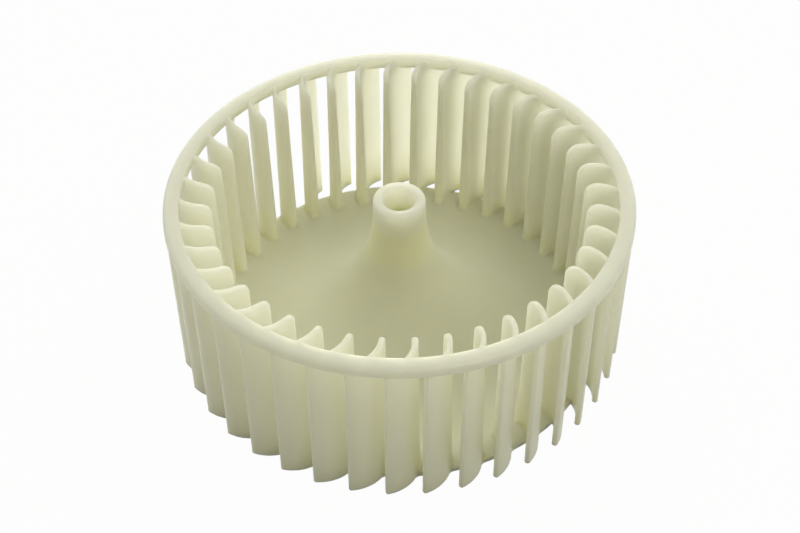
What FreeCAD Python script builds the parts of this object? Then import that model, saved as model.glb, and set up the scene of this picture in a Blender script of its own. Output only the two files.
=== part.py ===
"""Blower wheel of a clothes dryer: a one-piece moulded wheel with forward-curved blades.

Millimetres, +Z up towards the open inlet end. The origin is on the wheel's axis, in the flat plane
of its back, which is the underside of the back plate and the lower ends of the blades. The gap
between two blades is centred on +X. Seen from the inlet the wheel runs clockwise, with the hollow
faces of its blades going ahead. The flare of the hub and its recess are drawn as short straight
steps, which keeps the facets of the solid few.
"""
import FreeCAD, Part
import math
import os
from FreeCAD import Vector
import Sketcher

# Sizes of the moulding, in millimetres, with angles in degrees
SIZES = [
    ("wheel_height", 70.6, "flat back to the top of the rim"),
    ("rim_outer_radius", 90.0, "outside of the rim at the inlet end"),
    ("rim_width", 6.1, "radial width of the rim"),
    ("rim_height", 4.5, "axial height of the rim"),
    ("rim_outer_bevel", 1.1, "both outer corners of the rim"),
    ("rim_inner_bevel", 0.5, "upper inner corner of the rim"),
    ("blade_count", 40, "blades round the wheel"),
    ("blade_depth", 18.4, "outer edge of a blade to its rounded inner edge, along the radius"),
    ("blade_thickness", 2.2, "wall of a blade"),
    ("blade_entry_angle", 7.0, "lean of the inner edge off the radius, against the bend"),
    ("blade_sweep_angle", 88.8, "how far a blade bends from its inner edge to its outer edge"),
    ("blade_edge_inset", 0.1, "outer edge of a blade inside the outside of the rim"),
    ("blade_draft", 0.3, "how much nearer the axis the outer edge is at the foot"),
    ("blade_top_drop", 0.65, "top of the rim down to the top edges of the blades"),
    ("blade_top_round", 3.4, "rounded upper inner corner of a blade"),
    ("plate_inset", 2.9, "inside of the rim to the edge of the plate, so that the mould parts"),
    ("plate_thickness", 2.2, "wall of the back plate and of the flare"),
    ("web_round", 2.4, "hollow corner between the plate edge and the round face of a blade"),
    ("flare_inset", 1.0, "inner edges of the blades to the foot of the flare"),
    ("hub_top_drop", 2.8, "top of the rim down to the top of the hub"),
    ("hub_wall", 3.75, "wall of the hub round the bore, at the top"),
    ("hub_draft", 0.2, "how much wider the neck is where it runs into the flare"),
    ("hub_edge_bevel", 0.5, "outer edge on top of the hub"),
    ("neck_length", 7.3, "top of the hub down to the flare"),
    ("bore_radius", 6.35, "shaft bore, half an inch across"),
    ("bore_length", 27.8, "length of the bore, down to the recess inside the flare"),
    ("bore_mouth_bevel", 0.4, "mouth of the bore"),
    ("flare_step_count", 7, "straight steps that draw the flare"),
    ("recess_step_count", 5, "straight steps that draw the recess"),
    ("cut_margin", 1.0, "how far a cutting section runs past the material"),
]

# Sizes that follow from those above
FOLLOWING = [
    ("rim_inner_radius", "rim_outer_radius - rim_width"),
    ("rim_core_radius", "rim_outer_radius - rim_width / 2"),
    ("rim_bottom", "wheel_height - rim_height"),
    ("rim_middle", "wheel_height - rim_height / 2"),
    ("blade_outer_radius", "rim_outer_radius - blade_edge_inset"),
    ("blade_foot_radius", "blade_outer_radius - blade_draft"),
    ("blade_inner_radius", "blade_outer_radius - blade_depth"),
    ("blade_nose_radius", "blade_thickness / 2"),
    ("blade_nose_centre", "blade_inner_radius + blade_nose_radius"),
    ("blade_top", "wheel_height - blade_top_drop"),
    ("tail_angle", "90 + blade_entry_angle - blade_sweep_angle"),
    ("start_across", "blade_nose_centre + blade_nose_radius * cos(tail_angle)"),
    ("start_up", "blade_nose_radius * sin(tail_angle)"),
    ("slope_across", "sin(blade_entry_angle) + cos(tail_angle)"),
    ("slope_up", "sin(tail_angle) - cos(blade_entry_angle)"),
    ("slope_square", "slope_across ^ 2 + slope_up ^ 2"),
    ("slope_start", "start_across * slope_across + start_up * slope_up"),
    ("reach_square", "start_across ^ 2 + start_up ^ 2 - blade_outer_radius ^ 2"),
    ("bend_radius", "(sqrt(slope_start ^ 2 - slope_square * reach_square) - slope_start) / slope_square"),
    ("bend_across", "blade_nose_centre + bend_radius * sin(blade_entry_angle)"),
    ("bend_down", "bend_radius * cos(blade_entry_angle)"),
    ("round_radius", "bend_radius + blade_nose_radius"),
    ("hollow_radius", "bend_radius - blade_nose_radius"),
    ("blade_corner_out", "blade_inner_radius + blade_top_round"),
    ("blade_corner_down", "blade_top - blade_top_round"),
    ("plate_radius", "rim_inner_radius - plate_inset"),
    ("web_root_radius", "plate_radius - blade_nose_radius"),
    ("flare_foot", "blade_inner_radius - flare_inset"),
    ("hub_height", "wheel_height - hub_top_drop"),
    ("hub_radius", "bore_radius + hub_wall"),
    ("neck_radius", "hub_radius + hub_draft"),
    ("flare_run", "flare_foot - neck_radius"),
    ("flare_rise", "hub_height - neck_length - plate_thickness"),
    ("recess_run", "flare_run + plate_thickness"),
    ("recess_rise", "flare_rise + plate_thickness"),
    ("recess_height", "hub_height - bore_length"),
    ("recess_sweep", "acos(1 - recess_height / recess_rise) / 1 deg"),
    ("hub_edge_inside", "hub_radius - hub_edge_bevel"),
    ("hub_edge_below", "hub_height - hub_edge_bevel"),
    ("mouth_outside", "bore_radius + bore_mouth_bevel"),
    ("mouth_below", "hub_height - bore_mouth_bevel"),
    ("rim_outer_inside", "rim_outer_radius - rim_outer_bevel"),
    ("rim_outer_below", "wheel_height - rim_outer_bevel"),
    ("rim_outer_above", "rim_bottom + rim_outer_bevel"),
    ("rim_inner_outside", "rim_inner_radius + rim_inner_bevel"),
    ("rim_inner_below", "wheel_height - rim_inner_bevel"),
    ("cut_inside", "blade_inner_radius - cut_margin"),
    ("cut_outside", "rim_outer_radius + cut_margin"),
    ("cut_above", "wheel_height + cut_margin"),
    ("cut_side", "2 * blade_thickness"),
]

doc = FreeCAD.newDocument("blower_wheel")
sheet = doc.addObject("Spreadsheet::Sheet", "Sizes")
size = {}


def add_size(name, content, meaning=""):
    """Write a size or a formula of sizes in the next row of the sheet, and keep its value."""
    row = len(size) + 1
    sheet.set("A%d" % row, name)
    sheet.set("B%d" % row, content)
    sheet.set("C%d" % row, meaning)
    sheet.setAlias("B%d" % row, name)
    doc.recompute()
    size[name] = float(sheet.get(name))


for name, value, meaning in SIZES:
    add_size(name, str(value), meaning)
for name, formula in FOLLOWING:
    add_size(name, "=" + formula)

body = doc.addObject("PartDesign::Body", "blower_wheel")
body.Label = "blower_wheel"
POINT_NAMES = ("edge", "start", "end", "centre")


def origin_feature(role):
    """The origin plane or axis of the body that has this role."""
    return [item for item in body.Origin.OriginFeatures if item.Role == role][0]


def new_sketch(name, plane, turn=None):
    """An empty sketch on an origin plane of the body, turned from it where a turn is given."""
    sketch = body.newObject("Sketcher::SketchObject", name)
    sketch.AttachmentSupport = [(origin_feature(plane), "")]
    sketch.MapMode = "FlatFace"
    if turn:
        sketch.AttachmentOffset = FreeCAD.Placement(Vector(0, 0, 0), turn)
    return sketch


def add_line(sketch, start, end):
    """A straight edge between two points of the sketch."""
    return sketch.addGeometry(Part.LineSegment(Vector(*start, 0), Vector(*end, 0)), False)


def add_arc(sketch, centre, radius, from_angle, to_angle):
    """An arc that runs anticlockwise from one angle to the other, in radians."""
    circle = Part.Circle(Vector(*centre, 0), Vector(0, 0, 1), radius)
    return sketch.addGeometry(Part.ArcOfCircle(circle, from_angle, to_angle), False)


def add_circle(sketch, centre, radius):
    """A whole circle that only guides other edges."""
    return sketch.addGeometry(Part.Circle(Vector(*centre, 0), Vector(0, 0, 1), radius), True)


def hold(sketch, kind, *members, name=None, value=None, formula=None):
    """A constraint. A member is an edge, or an edge and one of its points in words.

    Its value is a named size, or a value that is worked out, with the formula that it follows.
    """
    arguments = [POINT_NAMES.index(item) if isinstance(item, str) else item for item in members]
    if name:
        value, formula = size[name], "Sizes." + name
    if value is not None:
        arguments.append(value)
    index = sketch.addConstraint(Sketcher.Constraint(kind, *arguments))
    if formula:
        sketch.setExpression("Constraints[%d]" % index, formula)


def flat_axis():
    """The horizontal axis of a sketch."""
    return -1


def axis_point():
    """The origin of a sketch, as an edge and its point."""
    return flat_axis(), "start"


def place(sketch, edge, point, across, up):
    """Hold a point of an edge at named distances from the origin, or on the flat back."""
    hold(sketch, "DistanceX", *axis_point(), edge, point, name=across)
    if up:
        hold(sketch, "DistanceY", *axis_point(), edge, point, name=up)
    else:
        hold(sketch, "PointOnObject", edge, point, flat_axis())


def draw_section(name, corners):
    """A closed section of straight edges through named corners, radius first and then height."""
    sketch = new_sketch(name, "XZ_Plane")
    points = [(size[across], size[up] if up else 0) for across, up in corners]
    lines = [add_line(sketch, start, end) for start, end in zip(points, points[1:] + points[:1])]
    for line, following in zip(lines, lines[1:] + lines[:1]):
        hold(sketch, "Coincident", line, "end", following, "start")
    for line, (across, up) in zip(lines, corners):
        place(sketch, line, "start", across, up)
    doc.recompute()
    return sketch


def turn_full(kind, name, sketch):
    """A full turn of a section about the axis, added to the body or taken from it."""
    feature = body.newObject(kind, name)
    feature.Profile = sketch
    feature.ReferenceAxis = (origin_feature("Z_Axis"), [""])
    feature.Angle = 360
    doc.recompute()


def raise_section(name, sketch, height):
    """A section raised from the flat back to a named height."""
    feature = body.newObject("PartDesign::Pad", name)
    feature.Profile = sketch
    feature.Length = size[height]
    feature.setExpression("Length", "Sizes." + height)
    doc.recompute()
    return feature


def repeat_round(name, *features):
    """Repeat features once for every blade."""
    pattern = body.newObject("PartDesign::PolarPattern", name)
    pattern.Originals = list(features)
    pattern.Axis = (origin_feature("Z_Axis"), [""])
    pattern.Angle = 360
    pattern.Occurrences = int(size["blade_count"])
    pattern.setExpression("Occurrences", "Sizes.blade_count")
    body.Tip = pattern
    doc.recompute()


# Back plate, flare and hub, turned in one section with the recess under the flare
flare = []
for step in range(int(size["flare_step_count"]) + 1):
    swing = "(90 deg * %d / flare_step_count)" % step
    add_size("flare_out_%d" % step, "=flare_foot - flare_run * sin%s" % swing)
    add_size("flare_up_%d" % step, "=plate_thickness + flare_rise * (1 - cos%s)" % swing)
    flare.append(("flare_out_%d" % step, "flare_up_%d" % step))
recess = [("flare_foot", None)]
for step in range(1, int(size["recess_step_count"]) + 1):
    swing = "(recess_sweep * 1 deg * %d / recess_step_count)" % step
    add_size("recess_out_%d" % step, "=flare_foot - recess_run * sin%s" % swing)
    add_size("recess_up_%d" % step, "=recess_rise * (1 - cos%s)" % swing)
    recess.append(("recess_out_%d" % step, "recess_up_%d" % step))
hub = [("hub_radius", "hub_edge_below"), ("hub_edge_inside", "hub_height"),
       ("mouth_outside", "hub_height"), ("bore_radius", "mouth_below"),
       ("bore_radius", "recess_height")]
plate = [("plate_radius", None), ("plate_radius", "plate_thickness")]
back = draw_section("back_and_hub_section", recess[::-1] + plate + flare + hub)
turn_full("PartDesign::Revolution", "back_and_hub", back)

# One blade, an arc of even thickness with a rounded inner edge and a square outer end
def along(start, angle, distance):
    """The point at this angle and distance from another."""
    return start[0] + distance * math.cos(angle), start[1] + distance * math.sin(angle)


def direction(start, end):
    """The angle of the line from one point to another, in radians."""
    return math.atan2(end[1] - start[1], end[0] - start[0])


def place_bend(sketch, edge):
    """Hold the centre of an edge on the bend centre of the first blade."""
    hold(sketch, "DistanceX", *axis_point(), edge, "centre", name="bend_across")
    hold(sketch, "DistanceY", edge, "centre", *axis_point(), name="bend_down")


nose_centre = (size["blade_nose_centre"], 0)
bend_centre = (size["bend_across"], -size["bend_down"])
nose_angle = math.radians(90 + size["blade_entry_angle"])
tail_angle = math.radians(size["tail_angle"])
half_pitch = 180 / size["blade_count"]

blade = new_sketch("blade_section", "XY_Plane", FreeCAD.Rotation(Vector(0, 0, 1), half_pitch))
round_face = add_arc(blade, bend_centre, size["round_radius"], tail_angle, nose_angle)
nose = add_arc(blade, nose_centre, size["blade_nose_radius"], nose_angle, nose_angle + math.pi)
hollow_face = add_arc(blade, bend_centre, size["hollow_radius"], tail_angle, nose_angle)
tail = add_line(blade, along(bend_centre, tail_angle, size["hollow_radius"]),
                along(bend_centre, tail_angle, size["round_radius"]))
hold(blade, "Tangent", round_face, "end", nose, "start")
hold(blade, "Tangent", nose, "end", hollow_face, "end")
hold(blade, "Coincident", tail, "end", round_face, "start")
hold(blade, "Coincident", tail, "start", hollow_face, "start")
hold(blade, "Coincident", round_face, "centre", hollow_face, "centre")
hold(blade, "PointOnObject", round_face, "centre", tail)
hold(blade, "PointOnObject", nose, "centre", flat_axis())
hold(blade, "Radius", nose, name="blade_nose_radius")
hold(blade, "Radius", round_face, name="round_radius")
hold(blade, "Distance", *axis_point(), round_face, "start", name="blade_outer_radius")
place_bend(blade, round_face)
doc.recompute()
one_blade = raise_section("one_blade", blade, "blade_top")

# The rounded upper inner corner of the blade, cut square through it
corner_centre = (size["blade_corner_out"], size["blade_corner_down"])
corner = new_sketch("blade_corner_section", "XZ_Plane", FreeCAD.Rotation(Vector(0, 1, 0), half_pitch))
corner_face = add_arc(corner, corner_centre, size["blade_top_round"], math.pi / 2, math.pi)
corner_foot = add_line(corner, (size["blade_inner_radius"], corner_centre[1]),
                       (size["cut_inside"], corner_centre[1]))
corner_inside = add_line(corner, (size["cut_inside"], corner_centre[1]),
                         (size["cut_inside"], size["cut_above"]))
corner_above = add_line(corner, (size["cut_inside"], size["cut_above"]),
                        (corner_centre[0], size["cut_above"]))
corner_side = add_line(corner, (corner_centre[0], size["cut_above"]),
                       (corner_centre[0], size["blade_top"]))
hold(corner, "Perpendicular", corner_face, "end", corner_foot, "start")
hold(corner, "Coincident", corner_foot, "end", corner_inside, "start")
hold(corner, "Coincident", corner_inside, "end", corner_above, "start")
hold(corner, "Coincident", corner_above, "end", corner_side, "start")
hold(corner, "Perpendicular", corner_side, "end", corner_face, "start")
hold(corner, "Horizontal", corner_foot)
hold(corner, "Vertical", corner_side)
hold(corner, "Radius", corner_face, name="blade_top_round")
place(corner, corner_foot, "start", "blade_inner_radius", "blade_corner_down")
hold(corner, "Vertical", corner_inside)
hold(corner, "Horizontal", corner_above)
place(corner, corner_above, "start", "cut_inside", "cut_above")
doc.recompute()
blade_corner = body.newObject("PartDesign::Pocket", "blade_corner")
blade_corner.Profile = corner
blade_corner.Type = "Length"
blade_corner.Length = size["cut_side"]
blade_corner.setExpression("Length", "Sizes.cut_side")
blade_corner.SideType = "Symmetric"
doc.recompute()
repeat_round("blades", one_blade, blade_corner)

# Webs that fill the hollow corner between the plate edge and the round face of each blade
def meet(from_axis, from_bend):
    """The point at these distances from the axis and from the bend centre of the first blade."""
    distance = math.hypot(*bend_centre)
    cosine = (from_axis ** 2 + distance ** 2 - from_bend ** 2) / (2 * from_axis * distance)
    return along((0, 0), direction((0, 0), bend_centre) + math.acos(cosine), from_axis)


web_centre = meet(size["plate_radius"] + size["web_round"], size["round_radius"] + size["web_round"])
web_root = meet(size["web_root_radius"], size["bend_radius"])
web_on_plate = math.pi + direction((0, 0), web_centre)
web_on_blade = 2 * math.pi + direction(web_centre, bend_centre)

web = new_sketch("web_section", "XY_Plane", FreeCAD.Rotation(Vector(0, 0, 1), half_pitch))
web_face = add_arc(web, web_centre, size["web_round"], web_on_plate, web_on_blade)
plate_guide = add_circle(web, (0, 0), size["plate_radius"])
blade_guide = add_circle(web, bend_centre, size["round_radius"])
blade_side = add_line(web, along(web_centre, web_on_blade, size["web_round"]), web_root)
plate_side = add_line(web, web_root, along(web_centre, web_on_plate, size["web_round"]))
hold(web, "Coincident", plate_guide, "centre", *axis_point())
hold(web, "Radius", plate_guide, name="plate_radius")
hold(web, "Radius", blade_guide, name="round_radius")
place_bend(web, blade_guide)
hold(web, "Radius", web_face, name="web_round")
hold(web, "Tangent", web_face, "start", plate_guide)
hold(web, "Tangent", web_face, "end", blade_guide)
hold(web, "Coincident", web_face, "end", blade_side, "start")
hold(web, "Coincident", blade_side, "end", plate_side, "start")
hold(web, "Coincident", plate_side, "end", web_face, "start")
hold(web, "Distance", *axis_point(), blade_side, "end", name="web_root_radius")
hold(web, "Distance", blade_guide, "centre", blade_side, "end", name="bend_radius")
doc.recompute()
one_web = raise_section("one_web", web, "plate_thickness")
repeat_round("webs", one_web)

# The outer edges of the blades, drafted, and let into the rim at the top
edge = draw_section("blade_edge_section", [
    ("blade_foot_radius", None), ("blade_outer_radius", "rim_middle"),
    ("rim_core_radius", "rim_middle"), ("rim_core_radius", "cut_above"),
    ("cut_outside", "cut_above"), ("cut_outside", None)])
turn_full("PartDesign::Groove", "blade_edges", edge)

# The rim that ties the blades together at the inlet
rim = draw_section("rim_section", [
    ("rim_inner_radius", "rim_bottom"), ("rim_outer_inside", "rim_bottom"),
    ("rim_outer_radius", "rim_outer_above"), ("rim_outer_radius", "rim_outer_below"),
    ("rim_outer_inside", "wheel_height"), ("rim_inner_outside", "wheel_height"),
    ("rim_inner_radius", "rim_inner_below")])
turn_full("PartDesign::Revolution", "inlet_rim", rim)

# Every object has to be sound before the wheel is written
for item in doc.Objects:
    if "Invalid" in item.State or "Error" in item.State:
        raise RuntimeError("%s did not rebuild: %s" % (item.Name, item.State))
if body.Shape.isNull() or not body.Shape.isValid() or len(body.Shape.Solids) != 1:
    raise RuntimeError("the wheel is not one sound solid")
os.makedirs("parts", exist_ok=True)
body.Shape.exportStep("parts/blower_wheel.step")
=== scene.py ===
"""Looks of a clothes dryer's blower wheel, a one-piece moulding of natural polypropylene.

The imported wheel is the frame. One finer piece stands for it: the same wheel with the roundings of the
mould on its edges. Sizes are in millimetres and turned to metres as they are used.
"""
import math

import bmesh
import bpy
from mathutils import Euler, Matrix, Vector


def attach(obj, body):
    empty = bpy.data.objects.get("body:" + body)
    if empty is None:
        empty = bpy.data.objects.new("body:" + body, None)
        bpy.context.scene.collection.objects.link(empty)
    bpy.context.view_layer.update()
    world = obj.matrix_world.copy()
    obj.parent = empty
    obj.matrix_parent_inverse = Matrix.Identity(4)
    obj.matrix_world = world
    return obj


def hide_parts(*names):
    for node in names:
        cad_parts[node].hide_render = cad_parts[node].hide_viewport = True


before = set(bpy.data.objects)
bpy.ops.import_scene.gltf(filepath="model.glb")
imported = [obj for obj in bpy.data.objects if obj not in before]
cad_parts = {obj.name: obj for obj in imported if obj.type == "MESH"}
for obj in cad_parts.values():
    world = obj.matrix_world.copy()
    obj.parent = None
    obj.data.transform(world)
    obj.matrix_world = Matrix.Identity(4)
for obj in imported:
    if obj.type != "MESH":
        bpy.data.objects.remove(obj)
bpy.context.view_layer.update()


# The place the photograph was taken from. The lens looks down into the open inlet end from a little
# over half a metre, and the gap between two blades faces it.
LENS_MM = 68.26
EYE_MM = (3.53, -430.55, 457.70)
EYE_TURN_DEGREES = (45.271, 0.202, 0.254)
SENSOR_MM = 36
MM = 0.001

eye = bpy.data.objects.new("eye", bpy.data.cameras.new("eye"))
eye.data.lens = LENS_MM
eye.data.sensor_width = SENSOR_MM
eye.location = Vector(EYE_MM) * MM
eye.rotation_euler = Euler([math.radians(angle) for angle in EYE_TURN_DEGREES])
bpy.context.scene.collection.objects.link(eye)
bpy.context.scene.camera = eye


# The back plate with the flare, the hub and its bore. In the real wheel it is one wall that rises from
# the flat back to the hub, with a recess underneath, so that the moulding cools evenly.
BLADE_COUNT = 40
PITCH = 2 * math.pi / BLADE_COUNT
PLATE_RADIUS = 81.0
PLATE_ROUND = 0.4
FOOT_BEVEL = 0.2
WALL = 2.2
FLARE_FOOT = 70.5
BORE_RADIUS = 6.35
BORE_FOOT = 40.0
HUB_HEIGHT = 67.8
HUB_RADIUS = 10.1
HUB_ROUND = 1.1
MOUTH_ROUND = 1.2
NECK_FOOT = 60.5
NECK_RADIUS = 10.3
SIDES_TO_A_BLADE = 6
CORNER_STEPS = 6
FLARE_STEPS = 40
RECESS_STEPS = 28


def swing(centre, reach, start, end, steps):
    """Points on part of an ellipse, from one angle to another in degrees."""
    angles = [math.radians(start + (end - start) * step / steps) for step in range(steps + 1)]
    return [(centre[0] + reach[0] * math.cos(angle), centre[1] + reach[1] * math.sin(angle))
            for angle in angles]


def rounded(centre_x, centre_y, radius, start):
    """Points on a quarter of a circle, for a rounded corner of a section."""
    return swing((centre_x, centre_y), (radius, radius), start, start + 90, CORNER_STEPS)


def turned(section):
    """A closed section of radii and heights, turned once round the axis."""
    shell = bmesh.new()
    turns = SIDES_TO_A_BLADE * BLADE_COUNT
    rings = []
    for turn in range(turns):
        angle = 2 * math.pi * turn / turns
        rings.append([shell.verts.new((radius * math.cos(angle) * MM, radius * math.sin(angle) * MM,
                                       height * MM)) for radius, height in section])
    for ring, following in zip(rings, rings[1:] + rings[:1]):
        for corner in range(len(section)):
            beyond = (corner + 1) % len(section)
            shell.faces.new((ring[corner], following[corner], following[beyond], ring[beyond]))
    bmesh.ops.recalc_face_normals(shell, faces=shell.faces)
    return shell


def solid(name, shell):
    """An object of the scene from a finished shell."""
    mesh = bpy.data.meshes.new(name)
    shell.to_mesh(mesh)
    shell.free()
    piece = bpy.data.objects.new(name, mesh)
    bpy.context.scene.collection.objects.link(piece)
    return piece


flare_centre = (FLARE_FOOT, NECK_FOOT)
flare_reach = (FLARE_FOOT - NECK_RADIUS, NECK_FOOT - WALL)
recess_reach = (flare_reach[0] + WALL, flare_reach[1] + WALL)
recess_end = 180 + math.degrees(math.asin((NECK_FOOT - BORE_FOOT) / recess_reach[1]))
section = swing(flare_centre, recess_reach, recess_end, 270, RECESS_STEPS)
section += [(PLATE_RADIUS - FOOT_BEVEL, 0), (PLATE_RADIUS, FOOT_BEVEL)]
section += rounded(PLATE_RADIUS - PLATE_ROUND, WALL - PLATE_ROUND, PLATE_ROUND, 0)
section += swing(flare_centre, flare_reach, 270, 180, FLARE_STEPS)
section += rounded(HUB_RADIUS - HUB_ROUND, HUB_HEIGHT - HUB_ROUND, HUB_ROUND, 0)
section += rounded(BORE_RADIUS + MOUTH_ROUND, HUB_HEIGHT - MOUTH_ROUND, MOUTH_ROUND, 90)
section += [(BORE_RADIUS, BORE_FOOT)]
wheel = solid("blower_wheel_moulding", turned(section))


# The blades, arcs that lean into the turn. They are thin at the rim and grow towards the plate, so that
# the core of the mould could be drawn out of the inlet, with a fillet at the foot. All their edges are
# rounded, and the upper corner of the inner edge is a large round.
BLADE_INNER = 71.5
BLADE_OUTER = 89.65
OUTER_DRAFT = 0.3
DRAFTED_DEPTH = 6
SIDE_DRAFT = 0.95
SIDE_DRAFT_TO = 78
FILLET = 1.3
FILLET_TO = 79.2
FILLET_SUNK = 0.03
FILLET_ROOT = 0.3
BLADE_WALL = 2.2
BLADE_TOP = 69.95
BLADE_CORNER = 4.8
TOP_ROUND = 0.95
FOOT_ROUND = 0.45
TAIL_ROUND = 0.9
LEAST_ROUND = 0.05
BEND = 13.9
ENTRY_DEGREES = 7
TAIL_DEGREES = 8.2
RIM_BOTTOM = 66.1
RIM_INSIDE = 83.9
LET_IN = 0.9
LET_IN_SHARE = 0.4
FOOT_STEPS = 3
TAIL_STEPS = 4
NOSE_STEPS = 12
BEND_STEPS = 24

nose = (BLADE_INNER + BLADE_WALL / 2, 0)
bend_centre = (nose[0] + BEND * math.sin(math.radians(ENTRY_DEGREES)),
               -BEND * math.cos(math.radians(ENTRY_DEGREES)))


def ahead(start, degrees, distance):
    """The point at this angle and distance from another."""
    return (start[0] + distance * math.cos(math.radians(degrees)),
            start[1] + distance * math.sin(math.radians(degrees)))


def blade_outline(inward):
    """The outline of the first blade in plan, with every side of it moved inward by this much."""
    nose_angle = 90 + ENTRY_DEGREES
    tail = TAIL_DEGREES + math.degrees(inward / BEND)
    outer, inner = BEND + BLADE_WALL / 2 - inward, BEND - BLADE_WALL / 2 + inward
    round_off = max(TAIL_ROUND - inward, LEAST_ROUND)
    outer_start = tail + math.degrees(math.asin(round_off / (outer - round_off)))
    inner_start = tail + math.degrees(math.asin(round_off / (inner + round_off)))
    outline = swing(ahead(bend_centre, outer_start, outer - round_off), (round_off, round_off),
                    tail - 90, outer_start, TAIL_STEPS)
    outline += swing(bend_centre, (outer, outer), outer_start, nose_angle, BEND_STEPS)[1:]
    outline += swing(nose, (BLADE_WALL / 2 - inward, BLADE_WALL / 2 - inward),
                     nose_angle, nose_angle + 180, NOSE_STEPS)[1:]
    outline += swing(bend_centre, (inner, inner), nose_angle, inner_start, BEND_STEPS)[1:]
    outline += swing(ahead(bend_centre, inner_start, inner + round_off), (round_off, round_off),
                     inner_start + 180, tail + 270, TAIL_STEPS)[1:]
    return outline


def drawn_in(point, share, beyond):
    """A point of the outline, with this share of what lies beyond a radius taken off."""
    radius = math.hypot(*point)
    scale = 1 - share * max(0, radius - beyond) / radius
    return point[0] * scale, point[1] * scale


def grown(outline, wider, wholly_to, nowhere_from):
    """An outline moved over to a wider one, wholly inside one radius and not at all beyond another."""
    moved = []
    for point, beside in zip(outline, wider):
        share = (nowhere_from - math.hypot(*point)) / (nowhere_from - wholly_to)
        share = min(max(share, 0), 1)
        moved.append((point[0] + share * (beside[0] - point[0]), point[1] + share * (beside[1] - point[1])))
    return moved


def blade_height(point):
    """How high the blade stands at a point of its outline, lower round its inner corner."""
    inside = BLADE_INNER + BLADE_CORNER - math.hypot(*point)
    if inside <= 0:
        return BLADE_TOP
    return BLADE_TOP - BLADE_CORNER + math.sqrt(max(BLADE_CORNER ** 2 - inside ** 2, 0))


def skinned(shell, loops):
    """The corners of the loops, with faces from each loop to the next one up."""
    loops = [[shell.verts.new(Vector(corner) * MM) for corner in loop] for loop in loops]
    for lower, upper in zip(loops, loops[1:]):
        for here in range(len(lower)):
            there = (here + 1) % len(lower)
            shell.faces.new((lower[here], lower[there], upper[there], upper[here]))
    return loops


def foot_outline(inward, fillet):
    """The outline of the first blade at its foot, with a part of the fillet round it."""
    plan = grown(blade_outline(inward), blade_outline(inward - SIDE_DRAFT), SIDE_DRAFT_TO, BLADE_OUTER)
    if fillet:
        plan = grown(plan, blade_outline(inward - SIDE_DRAFT - fillet), FILLET_TO, PLATE_RADIUS - PLATE_ROUND)
    return [drawn_in(corner, OUTER_DRAFT / DRAFTED_DEPTH, BLADE_OUTER - DRAFTED_DEPTH) for corner in plan]


def one_blade():
    """The first blade, with its inner edge on the X axis, as loops from its foot to its top."""
    loops = []
    for point, height in swing((0, 0), (FOOT_ROUND, FOOT_ROUND), 270, 360, FOOT_STEPS):
        loops.append([(*corner, FOOT_ROUND + height) for corner in foot_outline(FOOT_ROUND - point, 0)])
    loops.append([(*corner, WALL - FILLET_ROOT) for corner in foot_outline(0, 0)])
    for out, up in swing((FILLET, FILLET), (FILLET, FILLET), 270, 180, CORNER_STEPS):
        loops.append([(*corner, WALL - FILLET_SUNK + up) for corner in foot_outline(0, out)])
    loops.append([(*corner, min(RIM_BOTTOM + LET_IN, blade_height(corner) - TOP_ROUND - FOOT_ROUND))
                  for corner in blade_outline(0)])
    for point, height in swing((0, 0), (TOP_ROUND, TOP_ROUND), 0, 90, CORNER_STEPS):
        plan = [drawn_in(corner, LET_IN_SHARE, RIM_INSIDE) for corner in blade_outline(TOP_ROUND - point)]
        loops.append([(*corner, blade_height(corner) - TOP_ROUND + height) for corner in plan])
    shell = bmesh.new()
    loops = skinned(shell, loops)
    count = len(loops[0])
    for end in (loops[0], loops[-1]):
        for here in range(count // 2):
            strip = (end[here], end[here + 1], end[count - 2 - here], end[count - 1 - here])
            shell.faces.new(tuple(dict.fromkeys(strip)))
    bmesh.ops.recalc_face_normals(shell, faces=shell.faces)
    return shell


def all_round(first):
    """The same shell once for every blade, with a gap between two of them on the X axis."""
    pattern = bpy.data.meshes.new("one_of_all")
    first.to_mesh(pattern)
    first.free()
    shell = bmesh.new()
    for number in range(BLADE_COUNT):
        already = len(shell.verts)
        shell.from_mesh(pattern)
        shell.verts.ensure_lookup_table()
        bmesh.ops.rotate(shell, verts=shell.verts[already:], cent=(0, 0, 0),
                         matrix=Matrix.Rotation(PITCH * (number + 0.5), 3, "Z"))
    bpy.data.meshes.remove(pattern)
    return shell


blades = solid("blades", all_round(one_blade()))


# The webs, a small hollow corner of plate in front of each blade's round face. They carry the edge of
# the plate over to the blade and give the foot of the wheel its waved outline.
WEB_ROUND = 3.2
WEB_ROOT = 1.5
WEB_STEPS = 12
WEB_EDGE_STEPS = 4


def meet(from_axis, from_bend):
    """The point at these distances from the axis and from the bend centre of the first blade."""
    distance = math.hypot(*bend_centre)
    cosine = (from_axis ** 2 + distance ** 2 - from_bend ** 2) / (2 * from_axis * distance)
    bearing = math.atan2(bend_centre[1], bend_centre[0]) + math.acos(cosine)
    return from_axis * math.cos(bearing), from_axis * math.sin(bearing)


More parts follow.
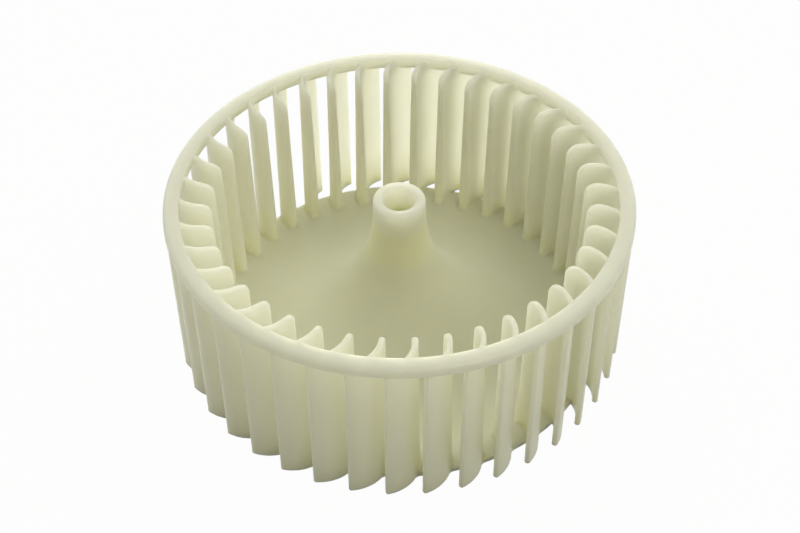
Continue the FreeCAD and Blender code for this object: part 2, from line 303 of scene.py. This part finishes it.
def one_web():
    """The web of the first blade, with its lower and upper edge rounded like the plate's."""
    centre = meet(PLATE_RADIUS + WEB_ROUND, BEND + BLADE_WALL / 2 + SIDE_DRAFT / 2 + WEB_ROUND)
    root = meet(PLATE_RADIUS - WEB_ROOT, BEND)
    on_plate = 180 + math.degrees(math.atan2(centre[1], centre[0]))
    on_blade = 360 + math.degrees(math.atan2(bend_centre[1] - centre[1], bend_centre[0] - centre[0]))
    loops = []
    edge = [(FOOT_BEVEL, 0), (0, FOOT_BEVEL)]
    edge += [(PLATE_ROUND - across, WALL - PLATE_ROUND + up)
             for across, up in swing((0, 0), (PLATE_ROUND, PLATE_ROUND), 0, 90, WEB_EDGE_STEPS)]
    for inward, height in edge:
        reach = WEB_ROUND + inward
        plan = swing(centre, (reach, reach), on_plate, on_blade, WEB_STEPS) + [root]
        loops.append([(*corner, height) for corner in plan])
    shell = bmesh.new()
    loops = skinned(shell, loops)
    shell.faces.new(loops[0])
    shell.faces.new(loops[-1])
    bmesh.ops.recalc_face_normals(shell, faces=shell.faces)
    return shell


webs = solid("webs", all_round(one_web()))


# The rim at the inlet. It ties the upper ends of the blades together. Its outer shoulder is one large
# round, and its other corners are small ones.
RIM_RADIUS = 90.0
WHEEL_HEIGHT = 70.6
RIM_SHOULDER = 2.0
RIM_ROUND = 0.6

section = rounded(RIM_RADIUS - RIM_ROUND, RIM_BOTTOM + RIM_ROUND, RIM_ROUND, -90)
section += rounded(RIM_RADIUS - RIM_SHOULDER, WHEEL_HEIGHT - RIM_SHOULDER, RIM_SHOULDER, 0)
section += rounded(RIM_INSIDE + RIM_ROUND, WHEEL_HEIGHT - RIM_ROUND, RIM_ROUND, 90)
section += rounded(RIM_INSIDE + RIM_ROUND, RIM_BOTTOM + RIM_ROUND, RIM_ROUND, 180)
rim = solid("rim", turned(section))


# The wheel comes out of the mould as one piece, so plate, blades, webs and rim are joined to one skin.
# An edge that turns by less than the angle here is shaded smooth, as the moulded roundings are.
SMOOTH_DEGREES = 32


def join(base, other):
    """Join another solid to the base, and drop the other."""
    step = base.modifiers.new("join", "BOOLEAN")
    step.operation = "UNION"
    step.solver = "MANIFOLD"
    step.object = other
    joined = bpy.data.meshes.new_from_object(base.evaluated_get(bpy.context.evaluated_depsgraph_get()))
    base.modifiers.clear()
    base.data = joined
    bpy.data.objects.remove(other)


join(wheel, blades)
join(wheel, webs)
join(wheel, rim)
for face in wheel.data.polygons:
    face.use_smooth = True
wheel.data.set_sharp_from_angle(angle=math.radians(SMOOTH_DEGREES))
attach(wheel, "root")
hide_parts("blower_wheel")


# Natural polypropylene, uncoloured and injection moulded: cream with a touch of green, waxy, with a
# satin skin from the mould. It is a little clear, so that thin walls with light behind them glow.
PLASTIC = "#F6F5DE"
PLASTIC_CLOUD = "#F0EFD4"
PLASTIC_IOR = 1.49
SATIN = 0.4
CLOUD_MM = 22
GRAIN_MM = 0.9
GRAIN_DEPTH_MM = 0.05
GRAIN_STRENGTH = 0.12
INNER_CORNER_MM = 0.5
RED_GREEN_BLUE_REACH = (1.0, 0.97, 0.75)
REACH_IN_PLATE = 0.005
REACH_IN_WALLS = 0.035
PLATE_ZONE_MM = (73, 73, 62)
PLATE_ZONE_EDGE = (0.9, 1.05)
FOOT_ZONE_MM = (2, 20)


def linear(hex_colour):
    """An sRGB hex colour as linear red, green, blue and alpha."""
    channels = [int(hex_colour[i:i + 2], 16) / 255 for i in (1, 3, 5)]
    return [c / 12.92 if c <= 0.04045 else ((c + 0.055) / 1.055) ** 2.4 for c in channels] + [1]


def add(tree, kind, settings=None, **links):
    """A node with its settings, and its inputs by name, or by number as i0, i1 and so on."""
    node = tree.nodes.new(kind)
    for name, value in (settings or {}).items():
        setattr(node, name, value)
    for name, source in links.items():
        socket = node.inputs[int(name[1:])] if name[1:].isdigit() else node.inputs[name.replace("_", " ")]
        if hasattr(source, "is_output"):
            tree.links.new(source, socket)
        else:
            socket.default_value = source
    return node


natural = bpy.data.materials.new("natural_polypropylene_moulded")
natural.use_nodes = True
tree = natural.node_tree
tree.nodes.clear()
place = add(tree, "ShaderNodeTexCoord").outputs["Object"]

# Faint clouds from the flow of the melt.
cloud = add(tree, "ShaderNodeTexNoise", Vector=place, Scale=1 / (CLOUD_MM * MM), Detail=3.0,
            Roughness=0.55)
tint = add(tree, "ShaderNodeMix", {"data_type": "RGBA"}, i0=cloud.outputs["Fac"])
tint.inputs["A"].default_value = linear(PLASTIC)
tint.inputs["B"].default_value = linear(PLASTIC_CLOUD)

# Light goes far into blades, rim and hub top, which have air on both sides, and less far into the
# plate, which lies on the table.
zone = add(tree, "ShaderNodeVectorMath", {"operation": "MULTIPLY"}, i0=place,
           i1=[1 / (reach * MM) for reach in PLATE_ZONE_MM])
zone = add(tree, "ShaderNodeVectorMath", {"operation": "LENGTH"}, i0=zone.outputs["Vector"])
beyond_plate = add(tree, "ShaderNodeMapRange", Value=zone.outputs["Value"], From_Min=PLATE_ZONE_EDGE[0],
                   From_Max=PLATE_ZONE_EDGE[1])
height = add(tree, "ShaderNodeSeparateXYZ", Vector=place)
above_foot = add(tree, "ShaderNodeMapRange", Value=height.outputs["Z"], From_Min=FOOT_ZONE_MM[0] * MM,
                 From_Max=FOOT_ZONE_MM[1] * MM)
thin = add(tree, "ShaderNodeMath", {"operation": "MULTIPLY"}, i0=beyond_plate.outputs[0],
           i1=above_foot.outputs[0])
reach = add(tree, "ShaderNodeMapRange", Value=thin.outputs[0], To_Min=REACH_IN_PLATE, To_Max=REACH_IN_WALLS)

# The smallest inner corners, where webs, blades and rim meet, and the texture of the mould. Its real
# grain is about 0.1 mm. It is drawn coarser, so that it shows.
fillet = add(tree, "ShaderNodeBevel", {"samples": 6}, Radius=INNER_CORNER_MM * MM)
grain = add(tree, "ShaderNodeTexNoise", Vector=place, Scale=1 / (GRAIN_MM * MM), Detail=2.0)
bump = add(tree, "ShaderNodeBump", Height=grain.outputs["Fac"], Strength=GRAIN_STRENGTH,
           Distance=GRAIN_DEPTH_MM * MM, Normal=fillet.outputs["Normal"])
skin = add(tree, "ShaderNodeBsdfPrincipled", Base_Color=tint.outputs["Result"], Normal=bump.outputs["Normal"],
           Roughness=SATIN, IOR=PLASTIC_IOR, Subsurface_Weight=1.0, Subsurface_Scale=reach.outputs[0])
skin.inputs["Subsurface Radius"].default_value = RED_GREEN_BLUE_REACH
add(tree, "ShaderNodeOutputMaterial", Surface=skin.outputs["BSDF"])
wheel.data.materials.clear()
wheel.data.materials.append(natural)


# The table, a sheet of matt white paper as in a catalogue picture. It shows as white, and keeps a
# faint shadow of the wheel.
PAPER = "#D8D8D6"
WHITENED_SHARE = 0.97
TABLE_HALF_WIDTH = 3
TABLE_GAP = 0.0002


def whitened(tree, white_kind, surface, share):
    """The surface, with white added for what the camera, a reflection or clear plastic sees."""
    ray = add(tree, "ShaderNodeLightPath")
    seen = add(tree, "ShaderNodeMath", {"operation": "MAXIMUM"}, i0=ray.outputs["Is Camera Ray"],
               i1=ray.outputs["Is Glossy Ray"])
    seen = add(tree, "ShaderNodeMath", {"operation": "MAXIMUM"}, i0=seen.outputs[0],
               i1=ray.outputs["Is Transmission Ray"])
    amount = add(tree, "ShaderNodeMath", {"operation": "MULTIPLY"}, i0=seen.outputs[0], i1=share)
    white = add(tree, white_kind, Color=(1, 1, 1, 1), Strength=1.0)
    return add(tree, "ShaderNodeMixShader", i0=amount.outputs[0], i1=surface, i2=white.outputs[0])


table_shell = bmesh.new()
bmesh.ops.create_grid(table_shell, x_segments=1, y_segments=1, size=TABLE_HALF_WIDTH)
table = solid("table_top", table_shell)
table.location.z = -TABLE_GAP
paper = bpy.data.materials.new("white_paper_matt")
paper.use_nodes = True
tree = paper.node_tree
tree.nodes.clear()
matt = add(tree, "ShaderNodeBsdfDiffuse", Color=linear(PAPER))
mixed = whitened(tree, "ShaderNodeEmission", matt.outputs[0], WHITENED_SHARE)
add(tree, "ShaderNodeOutputMaterial", Surface=mixed.outputs[0])
table.data.materials.append(paper)


# The room, a warm white studio that is brighter behind the wheel than in front of it. The camera sees
# it as plain white.
ROOM_COLOUR = "#FFFFEC"
ROOM_LIGHT = 0.75
BACK_LIGHT = 1.26
CEILING_LOSS = 0.2
FRONT_LIGHT = 0.1

room = bpy.data.worlds.new("white_room")
bpy.context.scene.world = room
room.use_nodes = True
tree = room.node_tree
tree.nodes.clear()
way = add(tree, "ShaderNodeTexCoord").outputs["Generated"]
lean = add(tree, "ShaderNodeVectorMath", {"operation": "DOT_PRODUCT"}, i0=way,
           i1=(0, BACK_LIGHT, -CEILING_LOSS))
level = add(tree, "ShaderNodeMath", {"operation": "ADD"}, i0=lean.outputs["Value"], i1=ROOM_LIGHT)
level = add(tree, "ShaderNodeMath", {"operation": "MAXIMUM"}, i0=level.outputs[0], i1=FRONT_LIGHT)
glow = add(tree, "ShaderNodeBackground", Color=linear(ROOM_COLOUR), Strength=level.outputs[0])
mixed = whitened(tree, "ShaderNodeBackground", glow.outputs[0], 1.0)
add(tree, "ShaderNodeOutputWorld", Surface=mixed.outputs[0])


# The studio lights, two large softboxes: a weak one high over the wheel and a little behind it, and
# the main one in front, to the right of the camera, a shade warmer.
def softbox(name, place_mm, aim_mm, size_mm, watts, colour):
    """A square soft light that faces a point."""
    lamp = bpy.data.lights.new(name, "AREA")
    lamp.size = size_mm * MM
    lamp.energy = watts
    lamp.color = linear(colour)[:3]
    box = bpy.data.objects.new(name, lamp)
    box.location = Vector(place_mm) * MM
    aim = Vector(aim_mm) * MM - box.location
    box.rotation_euler = aim.to_track_quat("-Z", "Y").to_euler()
    bpy.context.scene.collection.objects.link(box)


softbox("overhead_softbox", (-200, 350, 1100), (0, 0, 30), 900, 0.4, "#FFFFFF")
softbox("front_softbox", (500, -680, 900), (0, 0, 30), 600, 2.5, "#FFFCE2")

bpy.context.scene.view_settings.view_transform = "Standard"
